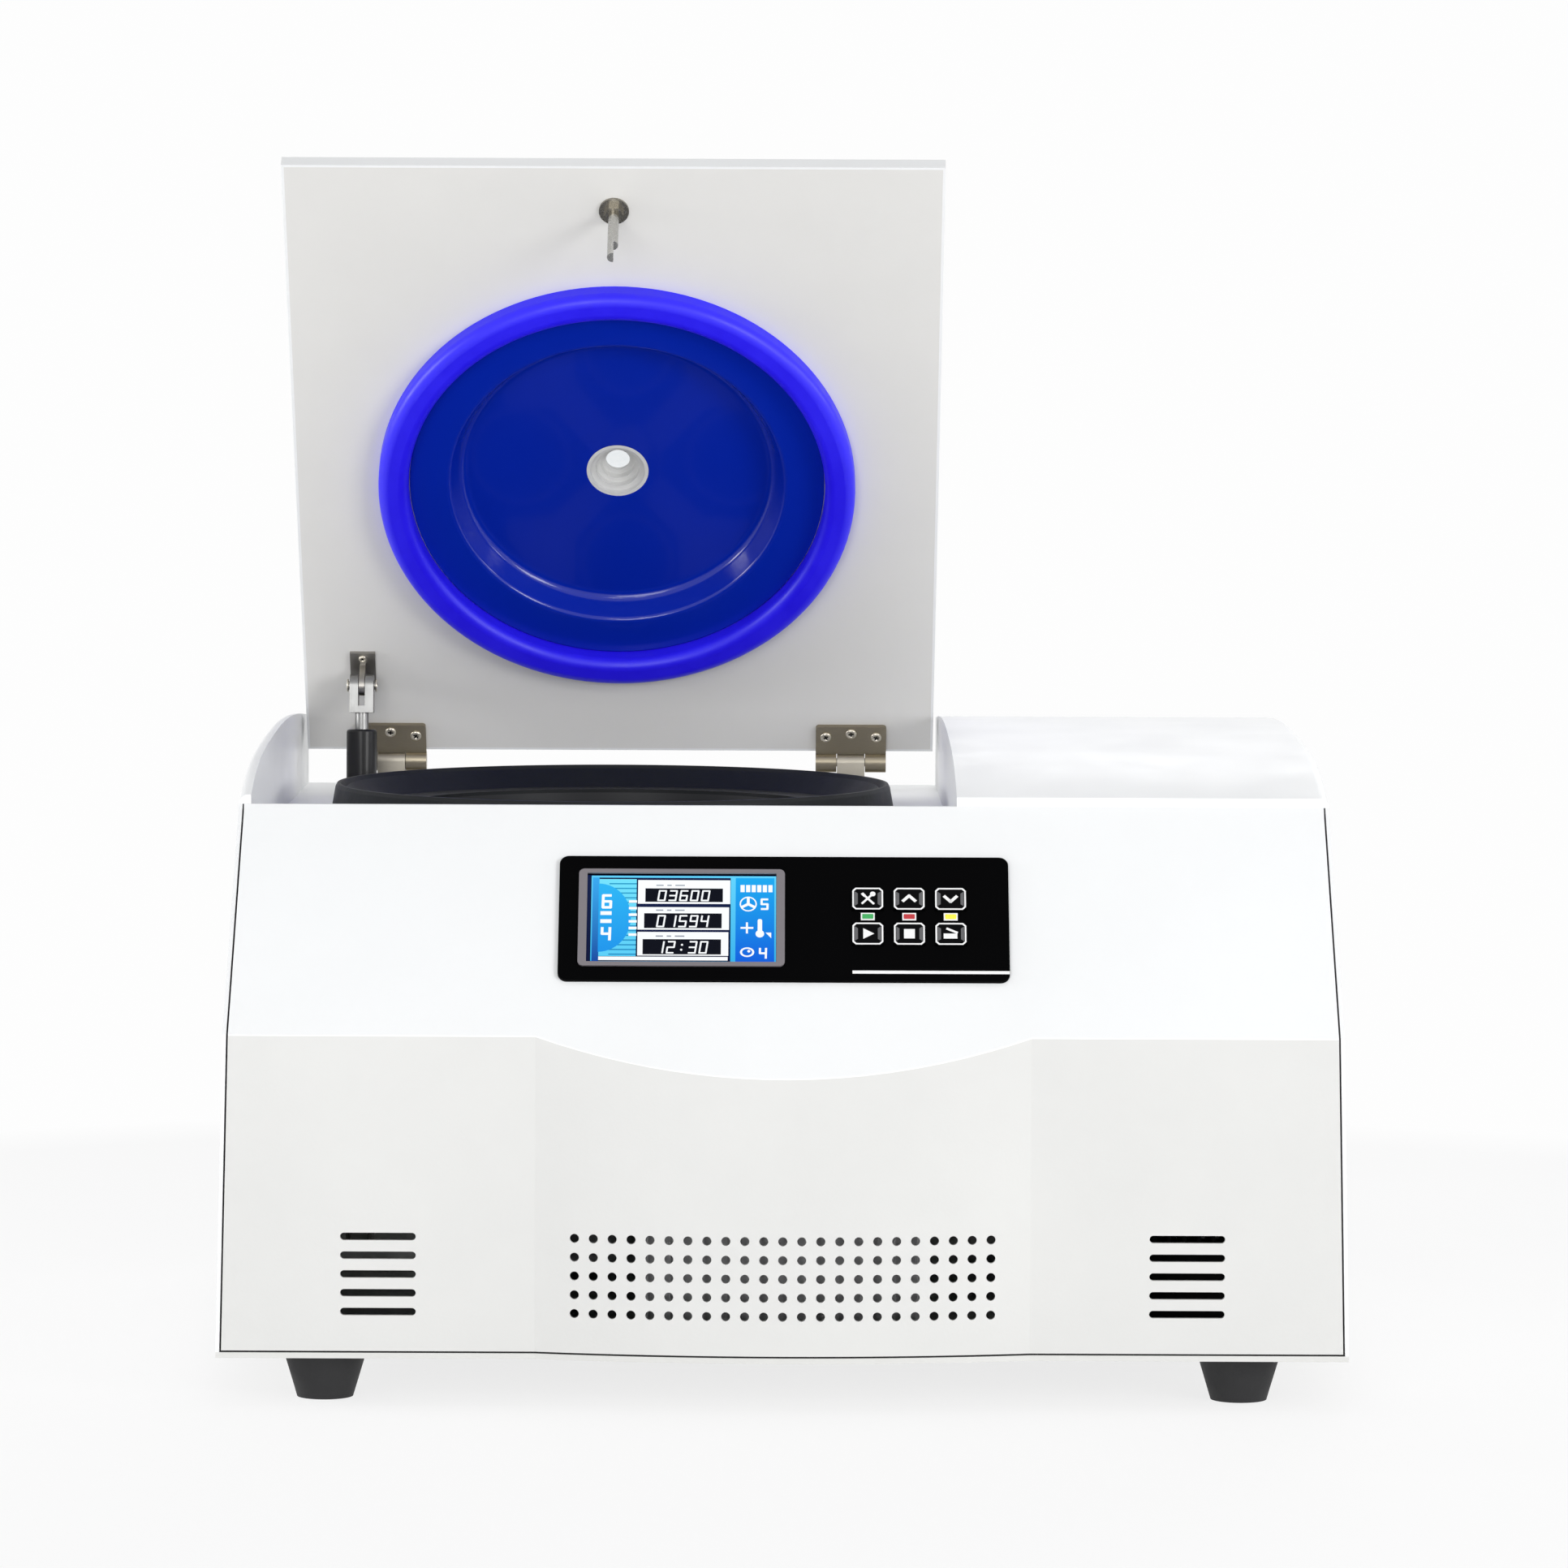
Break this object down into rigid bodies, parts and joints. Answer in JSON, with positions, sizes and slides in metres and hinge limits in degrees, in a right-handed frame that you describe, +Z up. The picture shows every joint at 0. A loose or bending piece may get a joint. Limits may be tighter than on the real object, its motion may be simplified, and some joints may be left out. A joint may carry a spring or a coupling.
{
  "type": "refrigerated bench centrifuge",
  "caption": "Refrigerated bench centrifuge with an arched hinged lid held open by a gas strut, a swing-out rotor in its bowl and a sloped control panel.",
  "frame": {"origin": "on the bench under the middle of the bounding box", "axes": "+Z up, the control panel faces -Y, +X to the right seen from the front"},
  "size_m": [0.6002, 0.5777, 0.6642],
  "materials": {
    "tray_paint": "satin",
    "foot_rubber": "matt",
    "front_white": "satin",
    "side_white": "satin",
    "cover_white": "satin",
    "rear_paint": "satin",
    "bowl_steel": "brushed",
    "collar_black": "satin",
    "foam_black": "matt",
    "guard_steel": "matt",
    "plate_steel": "zinc plated",
    "mount_rubber": "matt",
    "motor_alu": "cast",
    "boot_rubber": "matt",
    "compressor_black": "satin",
    "condenser_alu": "mill",
    "shroud_black": "matt",
    "fan_motor_black": "matt",
    "copper_line": "drawn copper",
    "board_green": "satin",
    "module_alu": "matt",
    "plate_gloss": "gloss",
    "bezel_grey": "satin",
    "screen_glass": "gloss",
    "light_lens": "gloss",
    "hinge_steel": "satin",
    "bracket_zinc": "zinc plated",
    "lock_plastic": "matt",
    "inlet_black": "matt",
    "switch_black": "matt",
    "lid_white": "satin",
    "liner_grey": "satin",
    "lid_foam": "matt",
    "seal_blue": "satin",
    "dish_blue": "gloss",
    "sleeve_white": "gloss",
    "window_glass": "clear",
    "pin_steel": "turned",
    "leaf_steel": "brushed",
    "strut_black": "satin",
    "clevis_chrome": "plated",
    "rod_chrome": "polished",
    "shaft_steel": "ground",
    "rotor_alu": "anodised",
    "nut_steel": "turned",
    "fan_black": "matt",
    "plunger_steel": "ground",
    "rocker_black": "gloss",
    "bucket_alu": "anodised",
    "key_black": "satin"
  },
  "bodies": {
    "base": {"base_tray": "tray_paint", "feet": "foot_rubber", "front_panel": "front_white", "side_cover_left": "side_white", "side_cover_right": "side_white", "top_cover": "cover_white", "rear_panel": "rear_paint", "chamber_bowl": "bowl_steel", "rim_collar": "collar_black", "chamber_insulation": "foam_black", "guard_ring": "guard_steel", "motor_plate": "plate_steel", "motor_mounts": "mount_rubber", "drive_motor": "motor_alu", "shaft_boot": "boot_rubber", "compressor": "compressor_black", "condenser": "condenser_alu", "fan_shroud": "shroud_black", "fan_motor": "fan_motor_black", "refrigerant_line": "copper_line", "control_board": "board_green", "power_module": "module_alu", "keypad_plate": "plate_gloss", "lcd_bezel": "bezel_grey", "lcd_screen": "screen_glass", "status_lights": "light_lens", "hinge_posts": "hinge_steel", "strut_foot_bracket": "bracket_zinc", "lock_housing": "lock_plastic", "power_inlet": "inlet_black", "switch_body": "switch_black"},
    "lid": {"lid_shell": "lid_white", "lid_liner": "liner_grey", "lid_insulation": "lid_foam", "lid_seal": "seal_blue", "lid_dish": "dish_blue", "sight_sleeve": "sleeve_white", "sight_window": "window_glass", "lock_pin": "pin_steel", "hinge_leaves": "leaf_steel", "strut_top_bracket": "bracket_zinc"},
    "strut_barrel": {"strut_cylinder": "strut_black", "strut_clevis": "clevis_chrome"},
    "strut_piston": {"strut_rod": "rod_chrome"},
    "rotor": {"rotor_shaft": "shaft_steel", "rotor_yoke": "rotor_alu", "rotor_nut": "nut_steel"},
    "fan": {"fan_rotor": "fan_black"},
    "plunger": {"lock_plunger": "plunger_steel"},
    "rocker": {"power_rocker": "rocker_black"},
    "cup_1": {"bucket_1": "bucket_alu"},
    "cup_2": {"bucket_2": "bucket_alu"},
    "cup_3": {"bucket_3": "bucket_alu"},
    "cup_4": {"bucket_4": "bucket_alu"},
    "button_tool": {"key_tool": "key_black"},
    "button_up": {"key_up": "key_black"},
    "button_down": {"key_down": "key_black"},
    "button_start": {"key_start": "key_black"},
    "button_stop": {"key_stop": "key_black"},
    "button_lid": {"key_lid": "key_black"}
  },
  "joints": [
    {"name": "lid_hinge", "type": "hinge", "parent": "base", "child": "lid", "pos_m": [-0.097, 0.236, 0.309], "axis": [1, 0, 0], "range_deg": [0, 56]},
    {"name": "strut_top_pivot", "type": "hinge", "parent": "lid", "child": "strut_barrel", "pos_m": [-0.249, 0.18832, 0.35645], "axis": [-1, 0, 0], "range_deg": [0, 51.59]},
    {"name": "strut_stroke", "type": "slide", "parent": "strut_barrel", "child": "strut_piston", "axis": [0, 0.0772, 0.997], "range_m": [0, 0.06126]},
    {"name": "rotor_spin", "type": "hinge", "parent": "base", "child": "rotor", "pos_m": [-0.097, 0.034, 0.215], "axis": [0, 0, 1], "continuous": true},
    {"name": "fan_spin", "type": "hinge", "parent": "base", "child": "fan", "pos_m": [0, -0.226, 0.082], "axis": [0, 1, 0], "continuous": true},
    {"name": "lock_slide", "type": "slide", "parent": "base", "child": "plunger", "axis": [-1, 0, 0], "range_m": [0, 0.006]},
    {"name": "rocker_tilt", "type": "hinge", "parent": "base", "child": "rocker", "pos_m": [0.205, 0.27967, 0.112], "axis": [-1, 0, 0], "range_deg": [0, 16]},
    {"name": "bucket_swing_1", "type": "hinge", "parent": "rotor", "child": "cup_1", "pos_m": [-0.039, 0.034, 0.215], "axis": [0, -1, 0], "range_deg": [0, 90]},
    {"name": "bucket_swing_2", "type": "hinge", "parent": "rotor", "child": "cup_2", "pos_m": [-0.097, 0.092, 0.215], "axis": [1, 0, 0], "range_deg": [0, 90]},
    {"name": "bucket_swing_3", "type": "hinge", "parent": "rotor", "child": "cup_3", "pos_m": [-0.155, 0.034, 0.215], "axis": [0, 1, 0], "range_deg": [0, 90]},
    {"name": "bucket_swing_4", "type": "hinge", "parent": "rotor", "child": "cup_4", "pos_m": [-0.097, -0.024, 0.215], "axis": [-1, 0, 0], "range_deg": [0, 90]},
    {"name": "press_tool", "type": "slide", "parent": "base", "child": "button_tool", "axis": [0, 0.8099, -0.5865], "range_m": [0, 0.001], "stiffness_N_per_m": 400, "springref_m": -0.0006},
    {"name": "press_up", "type": "slide", "parent": "base", "child": "button_up", "axis": [0, 0.8099, -0.5865], "range_m": [0, 0.001], "stiffness_N_per_m": 400, "springref_m": -0.0006},
    {"name": "press_down", "type": "slide", "parent": "base", "child": "button_down", "axis": [0, 0.8099, -0.5865], "range_m": [0, 0.001], "stiffness_N_per_m": 400, "springref_m": -0.0006},
    {"name": "press_start", "type": "slide", "parent": "base", "child": "button_start", "axis": [0, 0.8099, -0.5865], "range_m": [0, 0.001], "stiffness_N_per_m": 400, "springref_m": -0.0006},
    {"name": "press_stop", "type": "slide", "parent": "base", "child": "button_stop", "axis": [0, 0.8099, -0.5865], "range_m": [0, 0.001], "stiffness_N_per_m": 400, "springref_m": -0.0006},
    {"name": "press_lid", "type": "slide", "parent": "base", "child": "button_lid", "axis": [0, 0.8099, -0.5865], "range_m": [0, 0.001], "stiffness_N_per_m": 400, "springref_m": -0.0006}
  ],
  "couplings": [
    {"joint": "strut_top_pivot", "follows": "lid_hinge", "ratio": 0.9209},
    {"joint": "strut_stroke", "follows": "lid_hinge", "m_per_rad": 0.06257}
  ]
}
